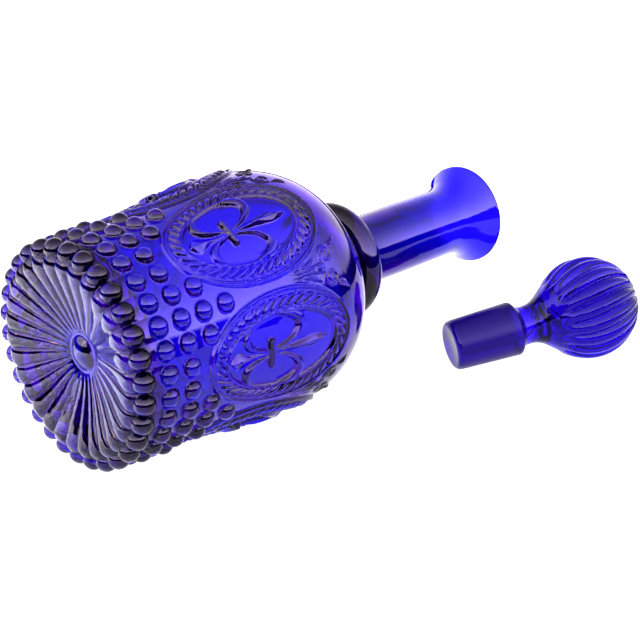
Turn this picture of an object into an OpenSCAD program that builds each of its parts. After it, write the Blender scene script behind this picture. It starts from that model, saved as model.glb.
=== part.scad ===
// Pressed-glass decanter with a ground-glass ball stopper, both lying on a
// table top. The bottle rests on its base beads and on the widest part of its
// shoulder, so its axis climbs gently towards the mouth. The stopper is out of
// the neck and rests on its ball and on the end of its plug.
// Origin: the centre of the ring of base beads. +X runs level, from the base
// towards the mouth, and +Z is up.

/* [Bottle] */
// Radius of the circle through the centres of the base beads
base_ring_r = 42; // [41.5:0.5:43]
// Radius of one base bead
base_bead_r = 4.2; // [3.6:0.1:4.4]
// Number of ribs and bead columns round the body
columns = 30; // [30]
// Outer radius of the body wall at its widest, under the relief
body_r = 50.8; // [50:0.1:52]
// Thickness of the side wall
wall = 4.6; // [3.5:0.1:5.5]
// Height of the lip rim above the ring of base beads
lip_h = 229.7; // [226:0.1:234]
// Outer radius of the flared lip
lip_r = 23.5; // [21.5:0.1:25]
// Angle that the lying bottle's axis climbs towards the mouth
lie_tilt = 4.4; // [4:0.1:4.8]

/* [Neck] */
// Outer radius of the neck
neck_r = 15.6; // [15.2:0.1:16.5]
// Radius of the plain round bore below the ground socket
bore_r = 11; // [10:0.1:11.4]
// Radius of the ground socket at its upper end
socket_top_r = 12.9; // [12.8:0.05:13.1]
// Radius of the ground socket at its lower end
socket_low_r = 11.8; // [11.6:0.05:11.9]
// Outer radius of the collar at the foot of the neck
collar_r = 26.6; // [24:0.1:28]

/* [Relief] */
// Height of the medallion centres above the ring of base beads
medal_h = 62.7; // [61:0.1:64]
// Half height of a medallion's outer border
medal_a = 35; // [33:0.5:36]
// Half width of a medallion's outer border
medal_b = 23.4; // [21:0.1:24]
// How far the borders and ornaments stand proud of the wall
relief = 1.3; // [0.8:0.1:1.6]
// Distance between two beads of one column
bead_pitch = 10.2; // [9.6:0.1:10.4]

/* [Stopper] */
// Radius of the melon-ribbed ball
ball_r = 24.3; // [22.5:0.1:24.5]
// Number of ribs on the ball
ball_ribs = 18; // [16:1:20]
// Length of the ground plug
plug_len = 31.5; // [28:0.5:33]
// Radius of the plug at its wide end
plug_top_r = 12.8; // [12.5:0.05:12.8]
// Radius of the plug at its narrow end
plug_low_r = 11.7; // [11.4:0.05:11.7]
// Radius of the clear stem
stem_r = 9.2; // [8:0.1:10]
// Distance from the end of the plug to the ball's centre
ball_h = 69.8; // [66:0.5:72]

/* [Hidden] */
$fn = 96;
step_a = 360 / columns;

// Straight blend
function mix(a, b, t) = a + (b - a) * t;

// Radius of the body wall's outside at height h, without the relief
function wall_r(h) =
    h < 40 ? mix(base_ring_r + 1.4, base_ring_r + 4, h / 40) :
    h < 78 ? mix(base_ring_r + 4, body_r, (h - 40) / 38) :
    body_r;

// Shoulder: an oval arc from the widest part down to the groove under the collar
sh_h0 = 90;
sh_h1 = 127;
sh_r1 = 20;
shoulder = [for (a = [0 : 7.5 : 90])
    [sh_r1 + (body_r - sh_r1) * pow(cos(a), 1.0), sh_h0 + (sh_h1 - sh_h0) * sin(a)]];

// Outline of the outside, from the middle of the base to the lip rim
outer = concat(
    [[0, 3], [7.5, 2.8], [16, 1.4], [24, -0.7], [31, -2.9], [34.5, -4.1], [37.5, -4.5],
     [base_ring_r - 2.2, -3.4], [base_ring_r - 0.6, -1.6], [base_ring_r + 0.8, 1]],
    [for (h = [6 : 12 : 78]) [wall_r(h), h]],
    shoulder,
    // groove, collar and the foot of the neck
    [for (a = [-90 : 22.5 : 90]) [collar_r - 6 + 6 * cos(a), 140.5 + 6 * sin(a)]],
    [[18.4, 147.4], [16.6, 149.6], [neck_r, 152.5], [neck_r, 207]],
    // flared lip
    [for (t = [0.15 : 0.14 : 0.99]) [neck_r + (lip_r - neck_r) * pow(t, 2.1), 207 + (lip_h - 207) * pow(t, 0.92)]],
    [[lip_r, lip_h - 0.9], [lip_r - 0.5, lip_h]]);

// Outline of the inside, from the lip rim down to the middle of the floor
socket_z1 = 214;
socket_z0 = 182;
bore_z0 = 150;
inner = concat(
    [[lip_r - 1.6, lip_h]],
    [for (t = [0.85 : -0.17 : 0.1]) [socket_top_r + (lip_r - 2 - socket_top_r) * pow(t, 1.9), socket_z1 + (lip_h - socket_z1) * t]],
    [[socket_top_r, socket_z1], [socket_low_r, socket_z0], [bore_r, socket_z0], [bore_r, bore_z0],
     [bore_r + 1.0, 143]],
    [for (a = [82.5 : -7.5 : 0]) [sh_r1 - wall + (body_r - sh_r1) * cos(a), sh_h0 - 1 + (sh_h1 - sh_h0 - 1) * sin(a)]],
    [for (h = [78 : -12 : 18]) [wall_r(h) - wall, h]],
    [[36, 12], [32, 10], [25, 9.2], [0, 10.5]]);

// One closed half outline of the glass
module glass_outline() polygon(concat(outer, inner));

// A thin skin that hugs the wall and holds the relief
module relief_skin() rotate_extrude()
    polygon(concat(
        [for (h = [18 : 12 : 78]) [wall_r(h) + relief, h]],
        [for (a = [0 : 7.5 : 45]) [sh_r1 + relief + (body_r - sh_r1) * cos(a), sh_h0 + (sh_h1 - sh_h0) * sin(a)]],
        [for (a = [45 : -7.5 : 0]) [sh_r1 - 1.5 + (body_r - sh_r1) * cos(a), sh_h0 + (sh_h1 - sh_h0) * sin(a)]],
        [for (h = [78 : -12 : 18]) [wall_r(h) - 1.5, h]]));

// Points of an oval; x runs round the body and y up it
function oval(b, a, n = 32) = [for (i = [0 : n - 1]) [b * cos(360 * i / n), a * sin(360 * i / n)]];

module oval_ring(b, a, w) difference() {
    polygon(oval(b, a));
    polygon(oval(b - w, a - w));
}

// A stylised three-petalled lily: tall middle petal, two side petals, a cross band and a tail
module lily() {
    polygon([[0, 22], [2.2, 15], [3.6, 8], [3, 2], [1.7, -5], [-1.7, -5], [-3, 2], [-3.6, 8], [-2.2, 15]]);
    for (m = [0, 1]) mirror([m, 0])
        polygon([[0.4, -5.2], [3.4, 0.6], [4.6, 5], [7.2, 9], [10.6, 10.4], [13.2, 8.2], [13.4, 4.6], [11.5, 3.2],
                 [10.9, 5.9], [9.2, 5.7], [8, 2.2], [5.6, -3.1], [4.2, -5.6]]);
    polygon([[-8, -3.9], [8, -3.9], [8, -7.5], [-8, -7.5]]);
    polygon([[-1.6, -6.3], [1.6, -6.3], [2.9, -12], [0, -19], [-2.9, -12]]);
    for (m = [0, 1]) mirror([m, 0])
        polygon([[2.6, -6.1], [6.1, -8.8], [9, -13.2], [8.2, -16.6], [5.6, -16.2], [6.3, -13.3], [3.9, -10.6]]);
}

// Borders and ornament of one medallion, standing proud of the wall
module medallion() intersection() {
    relief_skin();
    translate([0, 0, medal_h]) rotate([90, 0, 90]) linear_extrude(60) {
        oval_ring(medal_b, medal_a, 1.5);
        oval_ring(medal_b - 7, medal_a - 8, 1.3);
        lily();
    }
}

// Beads standing above one base bead: the columns under a medallion are short
function rows(c) = [2, 3, 4, 3, 2][c % 5];

module beads() for (c = [0 : columns - 1]) rotate([0, 0, c * step_a + step_a / 2]) {
    translate([base_ring_r, 0, 0]) sphere(r = base_bead_r);
    for (i = [1 : rows(c)])
        translate([wall_r(i * bead_pitch) - 0.9, 0, i * bead_pitch]) sphere(r = 3.9 - 0.12 * i);
}

// Height of the table top under the lying bottle
function low(h, r) = h * sin(lie_tilt) - r * cos(lie_tilt);
floor_z = low(0, base_ring_r * cos(step_a / 2)) - base_bead_r;
medal_turn = 36;

module bottle() color([0.07, 0.03, 0.62])
    rotate([0, 90 - lie_tilt, 0]) rotate([0, 0, 180 + medal_turn]) {
        rotate_extrude() glass_outline();
        beads();
        for (k = [0 : 5]) rotate([0, 0, 60 * k]) medallion();
    }

// Ribbed ball: the radius rises and falls round the axis, and the ribs fade at both poles
rib_n = 4 * ball_ribs;
rib_m = 20;
function ball_pt(i, j) = let (lat = -86 + 172 * j / rib_m, lon = 360 * i / rib_n,
    r = ball_r - 1.1 * (0.5 - 0.5 * cos(ball_ribs * lon)) * pow(cos(lat), 0.6))
    [r * cos(lat) * cos(lon), r * cos(lat) * sin(lon), r * sin(lat)];
module melon_ball() polyhedron(
    points = concat([for (j = [0 : rib_m]) for (i = [0 : rib_n - 1]) ball_pt(i, j)],
        [[0, 0, -ball_r], [0, 0, ball_r]]),
    faces = concat(
        [for (j = [0 : rib_m - 1]) for (i = [0 : rib_n - 1]) [j * rib_n + i, (j + 1) * rib_n + i, (j + 1) * rib_n + (i + 1) % rib_n]],
        [for (j = [0 : rib_m - 1]) for (i = [0 : rib_n - 1]) [j * rib_n + i, (j + 1) * rib_n + (i + 1) % rib_n, j * rib_n + (i + 1) % rib_n]],
        [for (i = [0 : rib_n - 1]) [(rib_m + 1) * rib_n, i, (i + 1) % rib_n]],
        [for (i = [0 : rib_n - 1]) [(rib_m + 1) * rib_n + 1, rib_m * rib_n + (i + 1) % rib_n, rib_m * rib_n + i]]));

// Plug, stem and ball along +Z, with the end of the plug at zero
module stopper_upright() {
    rotate_extrude() polygon([[0, 0], [plug_low_r - 1.6, 0], [plug_low_r - 0.5, 0.5], [plug_low_r, 1.6],
        [plug_top_r, plug_len], [stem_r + 0.6, plug_len + 3.2], [stem_r, plug_len + 5],
        [stem_r, ball_h - ball_r + 1.5], [stem_r + 1.2, ball_h - ball_r + 4], [stem_r + 2.2, ball_h - ball_r + 7], [0, ball_h - ball_r + 9]]);
    translate([0, 0, ball_h]) melon_ball();
}

// The stopper's place on the table: its ball's centre, how far its axis is turned
// and how far the axis climbs from the plug's end to the ball
ball_x = 250.2;
ball_y = -60.2;
stopper_turn = -29.1;
stopper_climb = asin(ball_r / norm([ball_h - 1.6, plug_low_r])) - atan(plug_low_r / (ball_h - 1.6));

module stopper() color([0.13, 0.08, 0.55])
    translate([ball_x, ball_y, floor_z + ball_r])
        rotate([0, 0, stopper_turn]) rotate([0, 90 - stopper_climb, 0])
            translate([0, 0, -ball_h]) stopper_upright();

bottle();
stopper();
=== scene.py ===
import math

import bpy
import numpy as np
from mathutils import Matrix, Vector


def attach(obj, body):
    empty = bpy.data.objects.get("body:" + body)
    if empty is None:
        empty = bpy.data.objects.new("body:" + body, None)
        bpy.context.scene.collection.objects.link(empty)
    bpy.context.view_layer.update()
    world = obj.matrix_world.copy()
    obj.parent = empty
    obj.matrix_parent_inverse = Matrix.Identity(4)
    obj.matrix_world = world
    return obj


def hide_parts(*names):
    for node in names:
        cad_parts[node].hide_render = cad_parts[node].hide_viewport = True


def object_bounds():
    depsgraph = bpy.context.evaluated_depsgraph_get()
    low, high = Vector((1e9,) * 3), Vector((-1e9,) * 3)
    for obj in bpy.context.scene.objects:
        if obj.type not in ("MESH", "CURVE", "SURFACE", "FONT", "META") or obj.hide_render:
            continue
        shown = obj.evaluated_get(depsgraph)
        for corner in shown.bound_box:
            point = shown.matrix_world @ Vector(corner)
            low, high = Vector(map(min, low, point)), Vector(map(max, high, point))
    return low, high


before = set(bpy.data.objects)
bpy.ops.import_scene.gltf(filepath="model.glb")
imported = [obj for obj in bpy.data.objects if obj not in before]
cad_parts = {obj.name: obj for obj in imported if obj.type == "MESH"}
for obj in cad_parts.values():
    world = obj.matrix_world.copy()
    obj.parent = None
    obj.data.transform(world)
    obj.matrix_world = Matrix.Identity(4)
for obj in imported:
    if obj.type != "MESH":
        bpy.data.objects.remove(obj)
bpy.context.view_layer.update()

MM = 0.001

# ---------------------------------------------------------------- sizes, as in the CAD (mm, degrees)
TILT = 4.4
RING_R, BEAD_R = 42.0, 4.2
PITCH = 10.2
COLS = 30
MEDAL_PHI, MEDAL_S = -36.0, 62.7
BALL = (250.2, -60.2)
TURN = -29.1
BALL_R, BALL_H, BALL_RIBS = 24.3, 69.8, 18
PLUG_LOW, PLUG_TOP, PLUG_LEN, STEM_R = 11.7, 12.8, 31.5, 9.2

t = math.radians(TILT)
U = np.array([math.cos(t), 0, math.sin(t)])      # along the bottle, base to mouth
V = np.array([-math.sin(t), 0, math.cos(t)])     # up, square to it
W = np.array([0.0, 1.0, 0.0])


# ---------------------------------------------------------------- light
SKY_L, SKY_TOP, ROOM, SKY_LEAN = 5.6, 0.27, 0.012, 5.0
SKY = [(7.0, 0.004), (10.0, 1.0), (22, 0.78), (45, 0.44)]
SKY_BACK = 0.32
FLOOR_R, FLOOR_ALBEDO, FLOOR_GLOW = 0.90, 0.30, 0.72
INSIDE_SOFT = 0.30
POOL = 4.5


# ---------------------------------------------------------------- helpers
def spline(points, step):
    """A smooth curve through the points (Catmull-Rom with chord-length knots), resampled evenly by length."""
    p = np.array(points, float)
    d = np.sqrt(np.linalg.norm(np.diff(p, axis=0), axis=1))
    a = np.concatenate([[0], np.cumsum(d)])
    p = np.vstack([2 * p[0] - p[1], p, 2 * p[-1] - p[-2]])
    a = np.concatenate([[-d[0]], a, [a[-1] + d[-1]]])
    out = []
    for i in range(1, len(p) - 2):
        u = np.linspace(a[i], a[i + 1], 24, endpoint=False)[:, None]
        A1 = (a[i] - u) / (a[i] - a[i - 1]) * p[i - 1] + (u - a[i - 1]) / (a[i] - a[i - 1]) * p[i]
        A2 = (a[i + 1] - u) / (a[i + 1] - a[i]) * p[i] + (u - a[i]) / (a[i + 1] - a[i]) * p[i + 1]
        A3 = (a[i + 2] - u) / (a[i + 2] - a[i + 1]) * p[i + 1] + (u - a[i + 1]) / (a[i + 2] - a[i + 1]) * p[i + 2]
        B1 = (a[i + 1] - u) / (a[i + 1] - a[i - 1]) * A1 + (u - a[i - 1]) / (a[i + 1] - a[i - 1]) * A2
        B2 = (a[i + 2] - u) / (a[i + 2] - a[i]) * A2 + (u - a[i]) / (a[i + 2] - a[i]) * A3
        out.append((a[i + 1] - u) / (a[i + 1] - a[i]) * B1 + (u - a[i]) / (a[i + 1] - a[i]) * B2)
    out = np.vstack(out + [p[-2][None]])
    return even(out, step)


def even(p, step):
    """The polyline p at even spacing; step is a number or a function of length along it."""
    L = np.concatenate([[0], np.cumsum(np.linalg.norm(np.diff(p, axis=0), axis=1))])
    if callable(step):
        at, x = [0.0], 0.0
        while x < L[-1]:
            i = min(np.searchsorted(L, x), len(p) - 1)
            x += step(p[i])
            at.append(min(x, L[-1]))
        at = np.array(at)
        if len(at) > 2 and at[-1] - at[-2] < 0.3 * (at[-2] - at[-3]):
            at = np.delete(at, -2)
    else:
        at = np.linspace(0, L[-1], max(2, int(round(L[-1] / step)) + 1))
    return np.stack([np.interp(at, L, p[:, k]) for k in range(p.shape[1])], 1)


def arc(cx, cy, rx, ry, a0, a1, n=24):
    a = np.radians(np.linspace(a0, a1, n))
    return np.stack([cx + rx * np.cos(a), cy + ry * np.sin(a)], 1)


def smooth(x, a, b):
    u = np.clip((x - a) / (b - a), 0, 1)
    return u * u * (3 - 2 * u)


def grid_mesh(name, pts, cap_start, cap_end, closed_rows=False):
    """A closed mesh from rows of points round an axis. pts is rows x columns x 3, in metres. A cap is the middle point that closes the first or last row."""
    rows, cols, _ = pts.shape
    verts = pts.reshape(-1, 3)
    i, j = np.meshgrid(np.arange(rows - 1), np.arange(cols), indexing="ij")
    k = (j + 1) % cols
    quads = np.stack([i * cols + j, i * cols + k, (i + 1) * cols + k, (i + 1) * cols + j], -1).reshape(-1, 4)
    extra, tris = [], []
    j = np.arange(cols)
    k = (j + 1) % cols
    if cap_start is not None:
        c = len(verts) + len(extra)
        extra.append(cap_start)
        tris.append(np.stack([np.full(cols, c), k, j], -1))
    if cap_end is not None:
        c = len(verts) + len(extra)
        extra.append(cap_end)
        b = (rows - 1) * cols
        tris.append(np.stack([np.full(cols, c), b + j, b + k], -1))
    if extra:
        verts = np.vstack([verts, np.array(extra)])
    tris = np.vstack(tris) if tris else np.zeros((0, 3), int)
    me = bpy.data.meshes.new(name)
    me.vertices.add(len(verts))
    me.vertices.foreach_set("co", verts.astype(np.float32).ravel())
    loops = np.concatenate([quads.ravel(), tris.ravel()])
    me.loops.add(len(loops))
    me.loops.foreach_set("vertex_index", loops.astype(np.int32))
    n = len(quads) + len(tris)
    me.polygons.add(n)
    start = np.concatenate([np.arange(len(quads)) * 4, len(quads) * 4 + np.arange(len(tris)) * 3])
    me.polygons.foreach_set("loop_start", start.astype(np.int32))
    me.polygons.foreach_set("use_smooth", np.ones(n, bool))
    me.update(calc_edges=True)
    me.validate()
    ob = bpy.data.objects.new(name, me)
    bpy.context.scene.collection.objects.link(ob)
    return ob


def outward(ob):
    """Turns the faces so that they all face out of the glass."""
    import bmesh
    bm = bmesh.new()
    bm.from_mesh(ob.data)
    if bm.calc_volume(signed=True) < 0:
        bmesh.ops.reverse_faces(bm, faces=bm.faces[:])
        bm.to_mesh(ob.data)
    bm.free()


# ---------------------------------------------------------------- bottle: outline of the outside
BODY_R = 51.0


def wall_r(h):
    h = np.asarray(h, float)
    return np.where(h < 40, RING_R + 1.4 + 2.6 * h / 40, np.where(h < 76, RING_R + 4 + (BODY_R - RING_R - 4) * (h - 40) / 36, BODY_R))


base_pts = [(0, 0.9), (2.4, 1.2), (4.8, 2.15), (6.6, 3.2), (7.8, 3.65), (9.2, 3.1), (13, 2.1), (18, 0.8), (24, -1.0), (30, -2.9),
            (34.5, -4.2), (37.3, -4.5), (39.6, -3.6), (41.2, -1.9), (42.2, 0.2), (42.9, 3), (43.7, 7)]
wall_pts = [(float(wall_r(h)), h) for h in (12, 20, 30, 40)] + [(48.5, 58), (50.5, 72), (51.1, 82), (51.0, 90)]
sh = arc(20, 90, BODY_R - 20, 37, 8, 80, 14).tolist()
neck_pts = [(23.0, 127.3), (20.9, 129.2), (20.2, 131.3), (20.6, 133.6)]
collar = arc(20.9, 140.6, 5.7, 6.2, -82, 78, 13).tolist()
rest = [(19.2, 147.3), (17.0, 149.4), (15.95, 152.5), (15.6, 157), (15.6, 170), (15.6, 190), (15.6, 202), (15.6, 208), (15.8, 212.5),
        (16.6, 217), (18.1, 221.2), (20.3, 225.0), (22.3, 227.8), (23.25, 229.1), (23.45, 229.7), (23.1, 230.05), (22.6, 229.95)]


def outer_step(p):
    r, s = p
    if s < 6 and r < 44:
        return 0.34 if r > 30 else 0.5
    if s < 106:
        return 0.42
    if s < 128:
        return 0.8
    if s < 150:
        return 0.55
    return 1.4 if s < 205 else 0.7


outer = spline(base_pts + wall_pts + sh + neck_pts + collar + rest, outer_step)
outer[0] = (0.0, outer[0, 1])
body = outer[1:]                     # the first point is the middle of the base
tan = np.gradient(body, axis=0)
tan /= np.linalg.norm(tan, axis=1)[:, None]
nor = np.stack([tan[:, 1], -tan[:, 0]], 1)   # outward in the (r, s) plane
ell = np.concatenate([[0], np.cumsum(np.linalg.norm(np.diff(body, axis=0), axis=1))])
R0, S0 = body[:, 0], body[:, 1]
wall_rows = S0 > 1.5
ELL_M = float(np.interp(MEDAL_S, S0[wall_rows & (S0 < 100)], ell[wall_rows & (S0 < 100)]))

N = 720
phi = np.arange(N) * 2 * math.pi / N
rows = len(body)
H = np.zeros((rows, N))              # height of the relief along the normal
DA = np.zeros((rows, N))             # shift round the body, mm
DB = np.zeros((rows, N))             # shift along the outline, mm
PH = np.broadcast_to(phi, (rows, N))
RR = np.broadcast_to(R0[:, None], (rows, N))
LL = np.broadcast_to(ell[:, None], (rows, N))
SS = np.broadcast_to(S0[:, None], (rows, N))

# --- the sunburst of ribs on the base: one rib per bead column, rounded, with sharp valleys between
col0 = math.radians(MEDAL_PHI + 6)
pitch_a = 2 * math.pi / COLS
u = ((PH - col0) / pitch_a + 0.5) % 1.0 - 0.5
on_base = (SS < 8)
w_rib = 2 * math.pi * RR / COLS
amp = np.minimum(0.26 * w_rib, 1.75) * smooth(RR, 8.4, 11.5)
amp = np.where((SS > -3.0) & (RR > 40), amp * (1 - 0.75 * smooth(SS, -2.0, 6.0)), amp)
ridge = np.sqrt(np.maximum(0, 1 - (1.9 * u) ** 2)) - 0.62
H += np.where(on_base, amp * ridge, 0)


# --- beads: a ball that stands out of the wall, on a grid that is drawn round it
def bead(lc, pc, radius, sunk, reach, keep=0.0):
    """A ball of the given radius whose centre is sunk below the wall at outline length lc and angle pc. reach is where its surroundings end."""
    i0, i1 = np.searchsorted(ell, [lc - reach, lc + reach])
    if i1 <= i0:
        return
    r = float(np.interp(lc, ell, R0))
    da = ((phi - pc + math.pi) % (2 * math.pi) - math.pi)
    cols = np.where(np.abs(da) * r < reach)[0]
    a = (da[cols] * r)[None, :] * np.ones((i1 - i0, 1))
    b = (ell[i0:i1] - lc)[:, None] * np.ones((1, len(cols)))
    rho = np.hypot(a, b)
    inside = rho < reach
    th1 = math.acos(sunk / radius)
    x1 = radius * math.sin(th1)
    r1 = reach * 0.90
    th = th1 * np.clip(rho / r1, 0, 1) ** 0.94
    x = np.where(rho < r1, radius * np.sin(th), x1 + (reach - x1) * (rho - r1) / (reach - r1))
    h = np.where(rho < r1, radius * np.cos(th) - sunk, 0.0)
    k = np.where(rho > 1e-6, x / np.maximum(rho, 1e-6), radius * th1 / r1)
    blend = 1 - smooth(rho, 0.72 * reach, reach)
    sub = np.ix_(np.arange(i0, i1), cols)
    Hs, As, Bs = H[sub], DA[sub], DB[sub]
    H[sub] = np.where(inside, Hs * (1 - blend) + keep * blend + h, Hs)
    DA[sub] = np.where(inside, a * (k - 1), As)
    DB[sub] = np.where(inside, b * (k - 1), Bs)


i_ring = np.argmin(np.abs(S0 - 0.0) + 5 * (R0 < 40))
for c in range(COLS):
    pc = col0 + c * pitch_a
    bead(float(ell[i_ring]), pc, BEAD_R, 0.0, 4.38, keep=0.1)
    n = (2, 3, 4, 3, 2)[c % 5]
    for i in range(1, n + 1):
        lc = float(np.interp(i * PITCH, S0[wall_rows & (S0 < 100)], ell[wall_rows & (S0 < 100)]))
        bead(lc, pc, 4.15 - 0.06 * i, 0.75, 4.5)

# --- medallions
def ellipse_d(p, q, a, b):
    """Signed distance, near enough, from the oval with half axes a (along) and b (round); negative inside."""
    f = np.sqrt((p / a) ** 2 + (q / b) ** 2) + 1e-9
    g = np.sqrt((p / (a * a)) ** 2 + (q / (b * b)) ** 2) / f
    return (f - 1) / np.maximum(g, 1e-6)


def line(d, half, height):
    """A raised rounded line where d is the distance from its middle."""
    x = np.clip(np.abs(d) / half, 0, 1)
    return height * (1 - x * x) ** 1.2


def stroke(p, q, path, height, sharp=0.5):
    """A raised stroke. path holds (p, q, half width) points; the width follows a smooth curve through them."""
    pts = spline(path, 0.35)
    out = np.zeros_like(p)
    lo, hi = pts[:, :2].min(0) - 4, pts[:, :2].max(0) + 4
    m = (p > lo[0]) & (p < hi[0]) & (q > lo[1]) & (q < hi[1])
    if not m.any():
        return out
    P, Q = p[m], q[m]
    best = np.zeros(len(P))
    for x, y, w in pts:
        w = max(w, 0.15)
        d2 = ((P - x) ** 2 + (Q - y) ** 2) / (w * w)
        best = np.maximum(best, np.where(d2 < 1, np.sqrt(np.maximum(0, 1 - d2)) ** (2 * sharp) * min(1.0, w / 0.9), 0))
    out[m] = height * best
    return out


A_OUT, B_OUT = 35.0, 24.0
def medallion(pc):
    m = ((PH - pc + math.pi) % (2 * math.pi) - math.pi)
    sel = (np.abs(m) < math.radians(31)) & (SS > 22) & (SS < 108)
    i = np.where(sel.any(1))[0]
    j = np.where(sel.any(0))[0]
    sub = np.ix_(i, j)
    q = (m[sub] * 49.5)
    p = (LL[sub] - ELL_M)
    h = np.zeros_like(p)
    d = ellipse_d(p, q, A_OUT, B_OUT)
    h = np.maximum(h, line(d + 0.7, 0.85, 1.25))
    h = np.maximum(h, line(d + 2.45, 0.65, 0.95))
    h = np.maximum(h, line(d + 8.3, 0.85, 1.25))
    # the twisted cord between the lines
    am, bm = A_OUT - 5.35, B_OUT - 5.35
    tab = np.linspace(0, 2 * np.pi, 721)
    seg = np.hypot(np.diff(am * np.cos(tab)), np.diff(bm * np.sin(tab)))
    L = np.concatenate([[0], np.cumsum(seg)])
    ang = np.arctan2(q / bm, p / am) % (2 * np.pi)
    lam = np.interp(ang, tab, L)
    n = 38
    g = L[-1] / n
    v = ellipse_d(p, q, am, bm)
    along = lam + v * 0.9            # leans the strands
    kk = np.round(along / g)
    uu = (along - kk * g)
    bean = 1 - (np.abs(uu) / 1.72) ** 2.2 - (np.abs(v) / 2.3) ** 2.4
    h = np.maximum(h, np.where(bean > 0, 1.55 * np.clip(bean, 0, 1) ** 0.42, 0))
    # the lily
    for sgn in (1, -1):
        qs = q * sgn
        h = np.maximum(h, stroke(p, qs, [(-4.5, 0.9, .55), (-2, 1.5, .6), (2.2, 3.1, .8), (5.8, 5.5, 1.3), (8.1, 8.4, 2.0), (7.9, 11.2, 2.3), (5.2, 13.3, 1.9), (1.6, 14.4, 1.1), (-2.2, 15.2, .25)], 2.1, 0.6))
        h = np.maximum(h, stroke(p, qs, [(-6.5, 1.0, .55), (-9, 1.6, .7), (-13.3, 3.0, 1.0), (-16.4, 5.4, 1.7), (-17.2, 8.4, 1.7), (-15.8, 11.0, .9), (-14.2, 12.3, .25)], 2.0, 0.6))
    w = np.interp(p, [-4.5, -2, 3, 8, 12, 15, 18, 20.5, 22.3], [0.5, 0.6, 1.1, 1.8, 2.35, 2.5, 1.75, 0.85, 0.0])
    petal = np.where((p > -4.5) & (p < 22.3) & (np.abs(q) < w), np.minimum(1.9, 0.95 * w + 0.35) * (1 - np.abs(q) / np.maximum(w, 1e-3)) ** 0.75, 0)
    h = np.maximum(h, petal)
    # the tail: a stem that opens into a spade
    w = np.interp(p, [-25.2, -23.4, -21, -18.5, -15.5, -12, -6], [0, 2.3, 4.1, 2.6, 1.25, 0.95, 0.8])
    h = np.maximum(h, np.where((p > -25.2) & (p < -6) & (np.abs(q) < w), 1.9 * np.minimum(1, w / 2.2) * (1 - np.abs(q) / np.maximum(w, 1e-3)) ** 0.8, 0))
    # the cross band
    bar = stroke(p, q, [(-5.9, -4.9, 1.5), (-5.6, -2.5, 1.75), (-5.5, 0, 1.8), (-5.6, 2.5, 1.75), (-5.9, 4.9, 1.5)], 2.7, 0.45)
    h = np.maximum(h, bar)
    field = smooth(-d, 8.6, 10.5) * 0.25
    H[sub] = H[sub] + h - field


def volutes(pc):
    """The pair of scrolls with their leaves, between two medallions under the shoulder."""
    m = ((PH - pc + math.pi) % (2 * math.pi) - math.pi)
    sel = (np.abs(m) < math.radians(16)) & (SS > 62) & (SS < 112)
    i = np.where(sel.any(1))[0]
    j = np.where(sel.any(0))[0]
    sub = np.ix_(i, j)
    q = m[sub] * (RR[sub] + 0.3)
    p = LL[sub] - ELL_M
    h = np.zeros_like(p)
    for sgn in (1, -1):
        qs = q * sgn
        cp, cq = 29.0, 4.7
        sp = []
        for k in range(23):
            a = math.radians(-150 + k * 28)
            r = 3.9 * (1 - k / 27) ** 1.05
            sp.append((cp + r * math.cos(a - math.pi / 2 + 0.3), cq - r * math.sin(a - math.pi / 2 + 0.3), 0.62 * (1 - 0.3 * k / 22)))
        h = np.maximum(h, stroke(p, qs, [(10, 0.5, .4), (16, 0.8, .55), (21, 0.9, .6)] + sp, 1.0, 0.6))
        h = np.maximum(h, stroke(p, qs, [(31.5, 8.2, .3), (34.5, 8.4, 1.0), (37.5, 10.4, .3)], 0.9, 0.8))
        h = np.maximum(h, stroke(p, qs, [(13, 1.6, .3), (18, 2.6, .8), (22.5, 4.8, .25)], 0.9, 0.8))
        h = np.maximum(h, stroke(p, qs, [(9, 1.4, .25), (14, 2.9, .6), (19, 5.6, .25)], 0.8, 0.8))
    h = np.maximum(h, stroke(p, q, [(20.5, 0, .3), (23.5, 0, 1.0), (26.5, 0, .3)], 1.0, 0.8))
    H[sub] = np.maximum(H[sub], h)


for k in range(6):
    medallion(math.radians(MEDAL_PHI + 60 * k))
    volutes(math.radians(MEDAL_PHI + 30 + 60 * k))

# --- slight waviness of fire-polished glass on the shoulder and the neck
rip = 0.05 * np.sin(2 * PH + 0.8) * np.sin(SS / 9.0) + 0.035 * np.sin(5 * PH + SS / 14.0)
H += np.where(SS > 100, rip, 0)

r_new = R0[:, None] + nor[:, 0:1] * H + tan[:, 0:1] * DB
s_new = S0[:, None] + nor[:, 1:2] * H + tan[:, 1:2] * DB
phi_new = PH + DA / np.maximum(R0[:, None], 1.0)
# a shift round the body is along the tangent, so a bead stays round
radial = np.stack([np.cos(PH), np.sin(PH)], -1)
around = np.stack([-np.sin(PH), np.cos(PH)], -1)
xy = radial * r_new[..., None] + around * DA[..., None]
outside = xy[..., 0:1] * V + xy[..., 1:2] * W + s_new[..., None] * U

# ---------------------------------------------------------------- bottle: outline of the inside, mouth to floor
inner_pts = ([(21.3, 229.3), (19.6, 227.4), (17.4, 224.6), (15.4, 221.3), (13.9, 218.0), (13.1, 215.2), (12.85, 213)]
             + [(12.6, 205), (12.25, 195), (11.85, 183.5), (11.6, 182.2), (11.05, 181.2), (11.0, 178), (11.0, 165), (11.0, 152), (11.2, 147), (12.6, 141.5), (15.4, 135.5), (18.5, 130.5)]
             + arc(15.6, 89, BODY_R - 20, 35.8, 72, 4, 11).tolist()
             + [(46.5, 82), (45.7, 70), (43.8, 56), (41.7, 42), (40.3, 28), (39.3, 19), (38.2, 14.5), (35.4, 11.6), (30, 10.0), (22, 9.3), (12, 9.8), (5, 10.3), (1.2, 10.5)])
inner = spline(inner_pts, lambda p: 0.9 if (p[1] > 205 or p[1] < 20) else 1.6)
lip_join = spline([(22.6, 229.95), (22.0, 229.8), (21.3, 229.3)], 0.3)[1:-1]
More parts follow.
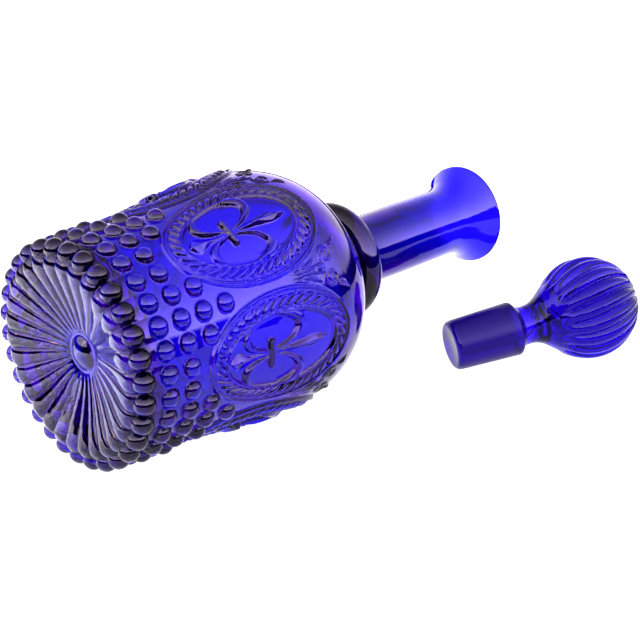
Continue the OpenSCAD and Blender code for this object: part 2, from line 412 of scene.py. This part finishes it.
inside_rs = np.vstack([lip_join, inner])
rr = inside_rs[:, 0][:, None] * np.ones((1, N))
ss = inside_rs[:, 1][:, None] * np.ones((1, N))
# the inside of blown glass is gently uneven, so what is seen through it swims a little
pi_ = np.broadcast_to(phi, rr.shape)
soft = np.where((ss < 125) & (ss > 12), 1.0, 0.0) * smooth(rr, 20, 34)
rr = rr + soft * (0.30 * np.sin(3 * pi_ + ss / 17.0) + 0.22 * np.sin(5 * pi_ - ss / 11.0 + 1.0) + 0.15 * np.sin(8 * pi_ + ss / 7.0))
inside = (rr * np.cos(pi_))[..., None] * V + (rr * np.sin(pi_))[..., None] * W + ss[..., None] * U

pts = np.concatenate([outside, inside], 0) * MM
start = (U * outer[0, 1]) * MM
end = (U * 10.5) * MM
bottle = grid_mesh("bottle_glass", pts, start, end)
outward(bottle)

# ---------------------------------------------------------------- stopper
climb = math.degrees(math.asin(BALL_R / math.hypot(BALL_H - 1.6, PLUG_LOW)) - math.atan(PLUG_LOW / (BALL_H - 1.6)))
c_, y_ = math.radians(climb), math.radians(TURN)
SU = np.array([math.cos(c_) * math.cos(y_), math.cos(c_) * math.sin(y_), math.sin(c_)])     # plug end to ball
SX = np.array([math.sin(c_) * math.cos(y_), math.sin(c_) * math.sin(y_), -math.cos(c_)])    # down, square to it
SY = np.cross(SU, SX)
FLOOR_CAD = -(RING_R * math.cos(math.radians(6)) * math.cos(t) + BEAD_R)
ball_c = np.array([BALL[0], BALL[1], FLOOR_CAD + BALL_R])
origin = ball_c - SU * BALL_H

st = [(0.0, 0.55), (3, 0.45), (6.5, 0.2), (9.3, 0.0), (10.4, 0.12), (11.2, 0.7), (11.62, 1.7), (11.78, 3.2), (12.05, 10), (12.4, 20), (12.72, 29.5), (12.8, 31.2),
      (12.55, 32.0), (11.3, 33.1), (10.2, 34.0), (9.75, 34.6), (9.45, 35.6), (9.2, 37.2), (9.25, 39.5), (9.8, 42.2), (11.1, 45.0), (13.0, 47.6), (15.0, 50.0)]
plug = spline(st, lambda p: 0.45)
a_join = math.degrees(math.asin(16.4 / BALL_R))
ballarc = []
for a in np.linspace(-90 + a_join, 90, 150):
    a_ = math.radians(a)
    ballarc.append((BALL_R * math.cos(a_), BALL_H + BALL_R * math.sin(a_)))
ballarc = np.array(ballarc)
prof = np.vstack([plug[1:], ballarc[1:-1]])
is_ball = np.concatenate([np.zeros(len(plug) - 1, bool), np.ones(len(ballarc) - 2, bool)])
M = 360
ps = np.arange(M) * 2 * math.pi / M
r = prof[:, 0][:, None] * np.ones((1, M))
z = prof[:, 1][:, None] * np.ones((1, M))
P2 = np.broadcast_to(ps, r.shape)
lat = np.arctan2(z - BALL_H, r)
fade = smooth(lat, math.radians(-52), math.radians(-34)) * (1 - smooth(lat, math.radians(70), math.radians(86)))
swirl = 0.16 * np.sin(lat * 1.1)
x = ((P2 + swirl) * BALL_RIBS / (2 * math.pi)) % 1.0 - 0.5
groove = np.abs(np.cos(math.pi * x)) ** 0.72
depth = 2.35 * fade * np.cos(lat) ** 0.8
dr = np.where(is_ball[:, None], -(1 - groove) * depth, 0)
rad = np.hypot(r, z - BALL_H)
r = np.where(is_ball[:, None], r * (1 + dr / np.maximum(rad, 1e-6)), r)
z = np.where(is_ball[:, None], BALL_H + (z - BALL_H) * (1 + dr / np.maximum(rad, 1e-6)), z)
sp = (r * np.cos(P2))[..., None] * SX + (r * np.sin(P2))[..., None] * SY + z[..., None] * SU + origin
stopper = grid_mesh("stopper_glass", sp * MM, (origin + SU * 0.55) * MM, (origin + SU * (BALL_H + BALL_R)) * MM)
outward(stopper)

# ---------------------------------------------------------------- materials
def glass(name, tint, absorb, density, rough=0.0, ior=1.52):
    mat = bpy.data.materials.new(name)
    mat.use_nodes = True
    nt = mat.node_tree
    bs = nt.nodes["Principled BSDF"]
    out = nt.nodes["Material Output"]
    bs.inputs["Base Color"].default_value = (*tint, 1)
    bs.inputs["Roughness"].default_value = rough
    bs.inputs["IOR"].default_value = ior
    bs.inputs["Transmission Weight"].default_value = 1.0
    vol = nt.nodes.new("ShaderNodeVolumeAbsorption")
    vol.inputs["Color"].default_value = (*absorb, 1)
    vol.inputs["Density"].default_value = density
    nt.links.new(vol.outputs[0], out.inputs["Volume"])
    return mat, nt, bs


def zone(ob, values):
    """How matt each point of the glass is: 0 fire polished, 1 ground."""
    at = ob.data.attributes.new("ground", "FLOAT", "POINT")
    at.data.foreach_set("value", values.astype(np.float32))


def tint_zone(ob, values, nt, bs, colours):
    """The tint by zone, evenly along a ramp: deeper on the neck, and deeper where the eye passes one wall only, so the
    lip is as blue as the rest; darker again as painted shade on the ring beads, the navel and the stopper's plug.
    """
    at = ob.data.attributes.new("thin", "FLOAT", "POINT")
    at.data.foreach_set("value", values.astype(np.float32))
    an = nt.nodes.new("ShaderNodeAttribute")
    an.attribute_name = "thin"
    cr = nt.nodes.new("ShaderNodeValToRGB")
    e = cr.color_ramp.elements
    e[0].position, e[0].color = 0.0, (*colours[0], 1)
    e[1].position, e[1].color = 1.0, (*colours[-1], 1)
    for k, c in enumerate(colours[1:-1]):
        e.new((k + 1) / (len(colours) - 1)).color = (*c, 1)
    nt.links.new(an.outputs["Fac"], cr.inputs["Fac"])
    nt.links.new(cr.outputs["Color"], bs.inputs["Base Color"])


def finish_surface(nt, bs, wave, ripple, grain):
    """Roughness from the zones, slow flow marks on all of it, and a fine grain where it is ground."""
    tc = nt.nodes.new("ShaderNodeTexCoord")
    at = nt.nodes.new("ShaderNodeAttribute")
    at.attribute_name = "ground"
    n1 = nt.nodes.new("ShaderNodeTexNoise"); n1.inputs["Scale"].default_value = 55; n1.inputs["Detail"].default_value = 3
    n2 = nt.nodes.new("ShaderNodeTexNoise"); n2.inputs["Scale"].default_value = 320; n2.inputs["Detail"].default_value = 2
    n3 = nt.nodes.new("ShaderNodeTexNoise"); n3.inputs["Scale"].default_value = 2600; n3.inputs["Detail"].default_value = 3
    for n in (n1, n2, n3):
        nt.links.new(tc.outputs["Object"], n.inputs["Vector"])
    m1 = nt.nodes.new("ShaderNodeMath"); m1.operation = "MULTIPLY"; m1.inputs[1].default_value = 0.34
    m2 = nt.nodes.new("ShaderNodeMath"); m2.operation = "MULTIPLY_ADD"; m2.inputs[1].default_value = 0.10; m2.inputs[2].default_value = 0.95
    m3 = nt.nodes.new("ShaderNodeMath"); m3.operation = "MULTIPLY"
    nt.links.new(at.outputs["Fac"], m1.inputs[0])
    nt.links.new(n2.outputs["Fac"], m2.inputs[0])
    nt.links.new(m1.outputs[0], m3.inputs[0]); nt.links.new(m2.outputs[0], m3.inputs[1])
    nt.links.new(m3.outputs[0], bs.inputs["Roughness"])
    b1 = nt.nodes.new("ShaderNodeBump"); b1.inputs["Strength"].default_value = wave; b1.inputs["Distance"].default_value = 0.0006
    b2 = nt.nodes.new("ShaderNodeBump"); b2.inputs["Strength"].default_value = ripple; b2.inputs["Distance"].default_value = 0.0002
    g = nt.nodes.new("ShaderNodeMath"); g.operation = "MULTIPLY"
    nt.links.new(n3.outputs["Fac"], g.inputs[0]); nt.links.new(at.outputs["Fac"], g.inputs[1])
    b3 = nt.nodes.new("ShaderNodeBump"); b3.inputs["Strength"].default_value = grain; b3.inputs["Distance"].default_value = 0.0001
    nt.links.new(n1.outputs["Fac"], b1.inputs["Height"]); nt.links.new(n2.outputs["Fac"], b2.inputs["Height"])
    nt.links.new(g.outputs[0], b3.inputs["Height"])
    nt.links.new(b1.outputs[0], b2.inputs["Normal"]); nt.links.new(b2.outputs[0], b3.inputs["Normal"])
    nt.links.new(b3.outputs[0], bs.inputs["Normal"])


BODY_TINT = (0.15, 0.010, 0.985)
# painted shade: a darker, duller tint for the ring of beads round the base and for the navel, so they look near black
RIM_PAINTED_SHADE = (0.045, 0.004, 0.55)
mat_b, nt, bs = glass("cobalt_glass", BODY_TINT, (0.30, 0.0, 0.30), 90.0)
bs.inputs["Specular Tint"].default_value = (0.84, 0.79, 1.0, 1)
finish_surface(nt, bs, 0.22, 0.05, 0.5)
bottle.data.materials.append(mat_b)
soft_in = np.zeros(len(pts))
soft_in[len(body) + len(lip_join) + 3:] = INSIDE_SOFT
hh = np.concatenate([body[:, 1], lip_join[:, 1], inner[:, 1]])
in_socket = (np.arange(len(pts)) >= len(body) + len(lip_join)) & (hh < 214) & (hh > 182)
soft_in[in_socket] = 0.45
under_collar = (np.arange(len(pts)) >= len(body) + len(lip_join)) * smooth(hh, 126, 132) * (1 - smooth(hh, 147, 152))
soft_in = np.maximum(soft_in, 0.9 * under_collar)
zone(bottle, np.concatenate([np.repeat(soft_in, N), [0.0, INSIDE_SOFT]]))
# painted shade: mask of the ring beads, the base rim and the navel, which take the darker tint at the low end of the
# ramp
painted_shade_rim = np.zeros(len(hh))
painted_shade_rim[:len(body)] = np.maximum(smooth(body[:, 0], 36.5, 40.5) * (1 - smooth(body[:, 1], 7, 10)), (1 - smooth(body[:, 0], 6.0, 8.0)) * (body[:, 1] < 20))
tz = (1 + smooth(hh, 144, 151) + smooth(hh, 184, 204) - painted_shade_rim) / 3
tint_zone(bottle, np.concatenate([np.repeat(tz, N), [0.0, 1 / 3]]), nt, bs, [RIM_PAINTED_SHADE, BODY_TINT, (0.075, 0.005, 0.60), (0.020, 0.008, 0.82)])

mat_s, nt, bs = glass("cobalt_glass_stopper", (0.05, 0.003, 0.95), (0.60, 0.0, 0.60), 60.0)
bs.inputs["Specular Tint"].default_value = (0.45, 0.45, 0.5, 1)
finish_surface(nt, bs, 0.10, 0.03, 0.5)
stopper.data.materials.append(mat_s)
gz = smooth(prof[:, 1], 0.9, 2.2) * (1 - smooth(prof[:, 1], 32.6, 33.6))
gz[is_ball] = 0
gz = np.maximum(gz, np.where((prof[:, 1] < 1.0), 0.25, 0))
zone(stopper, np.concatenate([np.repeat(gz, M), [0.25, 0.0]]))
# painted shade: the plug below the ball takes a darker tint than the ball
tint_zone(stopper, np.concatenate([np.repeat(np.where(is_ball, 0, smooth(prof[:, 1], 0, 1.5) * (1 - smooth(prof[:, 1], 33, 35))), M), [0.4, 0.0]]), nt, bs, [(0.05, 0.003, 0.95), (0.030, 0.003, 0.33)])

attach(bottle, "bottle"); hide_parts("bottle")
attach(stopper, "stopper"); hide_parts("stopper")

# ---------------------------------------------------------------- floor, light, camera
lo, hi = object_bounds()
FLOOR = lo[2] - 0.0002
me = bpy.data.meshes.new("floor")
ring = [(0.50 + FLOOR_R * math.cos(k * math.pi / 48), 0.40 + FLOOR_R * math.sin(k * math.pi / 48), FLOOR) for k in range(96)]
me.from_pydata(ring, [], [tuple(range(96))])
floor = bpy.data.objects.new("floor", me)
bpy.context.scene.collection.objects.link(floor)
fm = bpy.data.materials.new("floor")
fm.use_nodes = True
fb = fm.node_tree.nodes["Principled BSDF"]
fb.inputs["Base Color"].default_value = (FLOOR_ALBEDO, FLOOR_ALBEDO, FLOOR_ALBEDO, 1)
fb.inputs["Roughness"].default_value = 0.9
fb.inputs["Emission Color"].default_value = (1, 1, 1, 1)
fb.inputs["Emission Strength"].default_value = FLOOR_GLOW
fb.inputs["Specular IOR Level"].default_value = 0.1
me.materials.append(fm)

world = bpy.data.worlds.new("studio")
bpy.context.scene.world = world
world.use_nodes = True
wn = world.node_tree
wn.nodes.clear()
HEAD = np.array([0.7071, 0.7071, 0.0])       # the way the picture is taken


def node(kind, **kw):
    n = wn.nodes.new(kind)
    for k, v in kw.items():
        setattr(n, k, v)
    return n


def link(a, b):
    wn.links.new(a, b)


# a soft sky, brightest low down, over a dark line of ground that stands a little higher on the camera's side
coord = node("ShaderNodeTexCoord")
dot = node("ShaderNodeVectorMath", operation="DOT_PRODUCT")
ax = math.radians(SKY_LEAN)
dot.inputs[1].default_value = (HEAD[0] * math.sin(ax), HEAD[1] * math.sin(ax), math.cos(ax))
link(coord.outputs["Generated"], dot.inputs[0])
ramp = node("ShaderNodeValToRGB")
ramp.color_ramp.interpolation = "LINEAR"
el = ramp.color_ramp.elements
stops = [(0.0, ROOM / SKY_L)] + [(math.sin(math.radians(d)), v) for d, v in SKY]
el[0].position, el[0].color = stops[0][0], (stops[0][1],) * 3 + (1,)
el[1].position, el[1].color = 1.0, (SKY_TOP,) * 3 + (1,)
for pos, v in stops[1:]:
    e = el.new(pos)
    e.color = (v, v, v, 1)
link(dot.outputs["Value"], ramp.inputs["Fac"])
total = node("ShaderNodeMath", operation="MULTIPLY")
link(ramp.outputs["Color"], total.inputs[0])
back = node("ShaderNodeVectorMath", operation="DOT_PRODUCT")
back.inputs[1].default_value = tuple(HEAD)
link(coord.outputs["Generated"], back.inputs[0])
dim = node("ShaderNodeMapRange", interpolation_type="SMOOTHSTEP")
dim.inputs["From Min"].default_value = -0.35
dim.inputs["From Max"].default_value = 0.55
dim.inputs["To Min"].default_value = SKY_L
dim.inputs["To Max"].default_value = SKY_L * SKY_BACK
link(back.outputs["Value"], dim.inputs["Value"])
link(dim.outputs["Result"], total.inputs[1])
bg = node("ShaderNodeBackground")
bg.inputs["Color"].default_value = (1.0, 0.94, 1.0, 1)
link(total.outputs[0], bg.inputs["Strength"])
plain = node("ShaderNodeBackground")
plain.inputs["Color"].default_value = (1, 1, 1, 1)
plain.inputs["Strength"].default_value = 1.0
path = node("ShaderNodeLightPath")
mix = node("ShaderNodeMixShader")
link(path.outputs["Is Camera Ray"], mix.inputs[0])
link(bg.outputs[0], mix.inputs[1])
link(plain.outputs[0], mix.inputs[2])
wo = node("ShaderNodeOutputWorld")
link(mix.outputs[0], wo.inputs["Surface"])


def area(name, loc, target, size, radiance, color=(1, 1, 1)):
    li = bpy.data.lights.new(name, "AREA")
    li.shape = "RECTANGLE"
    li.size, li.size_y = size
    li.energy = radiance * size[0] * size[1] * math.pi
    li.color = color
    ob = bpy.data.objects.new(name, li)
    ob.location = loc
    ob.rotation_euler = (Vector(target) - Vector(loc)).to_track_quat("-Z", "Y").to_euler()
    bpy.context.scene.collection.objects.link(ob)
    return ob


# a lamp over the table to the left of the base, so the ribs have something bright to mirror
li = bpy.data.lights.new("left_pool", "AREA")
li.shape = "DISK"
li.size = 0.25
li.energy = POOL
li.spread = math.radians(70)
ob = bpy.data.objects.new("left_pool", li)
ob.location = (-0.22, 0.14, 0.40)
bpy.context.scene.collection.objects.link(ob)
ob.visible_glossy = False
ob.visible_transmission = False
ob.visible_camera = False

# a small warm lamp, low on the left, for the sparks along the ribs
area("warm", (-0.95, 0.45, 0.30), (0.0, 0.0, 0.0), (0.05, 0.30), 16.0, (1.0, 0.62, 0.36))

# camera: fitted to the picture's own circles
cam_data = bpy.data.cameras.new("camera")
cam = bpy.data.objects.new("camera", cam_data)
bpy.context.scene.collection.objects.link(cam)
bpy.context.scene.camera = cam
F_PX = 1400.0
cam_data.sensor_width = 36.0
cam_data.lens = 36.0 * F_PX / 640.0
cam_data.clip_start, cam_data.clip_end = 0.02, 60
th, psi, Z = math.radians(49.50), math.radians(21.95), 531.0
u_c = np.array([math.cos(psi) * math.sin(th), -math.sin(psi) * math.sin(th), math.cos(th)])
p0 = np.array([(75.0 - 320) * Z / F_PX, (356.2 - 320) * Z / F_PX, Z])
a_ = math.hypot(u_c[1], u_c[2])
elev = math.atan2(-u_c[1], u_c[2]) - math.asin(math.sin(t) / a_)
up = np.array([0, -math.cos(elev), -math.sin(elev)])
ux = u_c - (u_c @ up) * up
ux /= np.linalg.norm(ux)
uy = np.cross(up, ux)
to_world = np.stack([ux, uy, up])            # rows: world axes in camera (right, down, forward) coordinates
loc = -(to_world @ p0) * MM
right, down, fwd = to_world[:, 0], to_world[:, 1], to_world[:, 2]
m = Matrix(((right[0], -down[0], -fwd[0], loc[0]), (right[1], -down[1], -fwd[1], loc[1]), (right[2], -down[2], -fwd[2], loc[2]), (0, 0, 0, 1)))
cam.matrix_world = m

sc = bpy.context.scene
sc.view_settings.view_transform = "Standard"
sc.view_settings.look = "High Contrast"
sc.cycles.max_bounces = 24
sc.cycles.transmission_bounces = 24
sc.cycles.glossy_bounces = 8
sc.cycles.diffuse_bounces = 3
